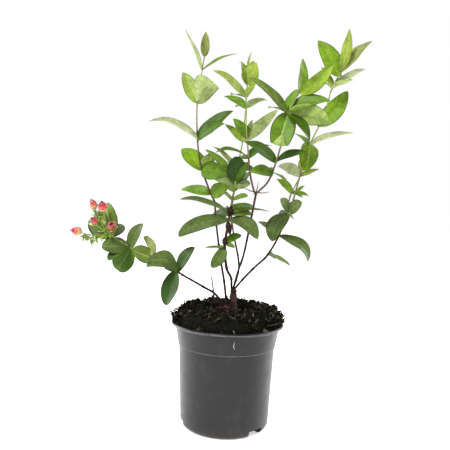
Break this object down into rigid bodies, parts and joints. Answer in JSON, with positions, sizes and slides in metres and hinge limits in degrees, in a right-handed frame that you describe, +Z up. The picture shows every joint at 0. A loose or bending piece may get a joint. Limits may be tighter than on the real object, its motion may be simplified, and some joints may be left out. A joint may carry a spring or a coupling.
{
  "type": "potted st johns wort",
  "caption": "Young berried St John's wort shrub in a round black nursery pot, with open leafy stems, a low side shoot of red berries and heaped compost.",
  "frame": {"origin": "Centre of the pot's flat underside.", "axes": "+Z up along the pot's axis, -Y the front that the picture shows, +X its right."},
  "size_m": [0.2958, 0.1331, 0.4268],
  "materials": {
    "pot": "satin",
    "soil": "matte",
    "bark": "matte",
    "old_leaves": "satin",
    "young_leaves": "satin",
    "berries": "satin"
  },
  "bodies": {
    "root": {"pot": "pot", "soil": "soil", "stump": "bark", "bough_low": "bark", "bough_tall_left": "bark", "bough_centre_front": "bark", "bough_centre_back": "bark", "bough_middle": "bark", "bough_right": "bark", "dead_twig": "bark", "leaves_low": "old_leaves", "leaves_centre_front": "old_leaves", "leaves_right_low": "old_leaves", "leaves_tall_left": "young_leaves", "leaves_centre_back": "young_leaves", "leaves_middle_left": "young_leaves", "leaves_middle_right": "young_leaves", "leaves_right_inner": "young_leaves", "leaves_right_outer": "young_leaves", "berries": "berries"}
  },
  "joints": []
}
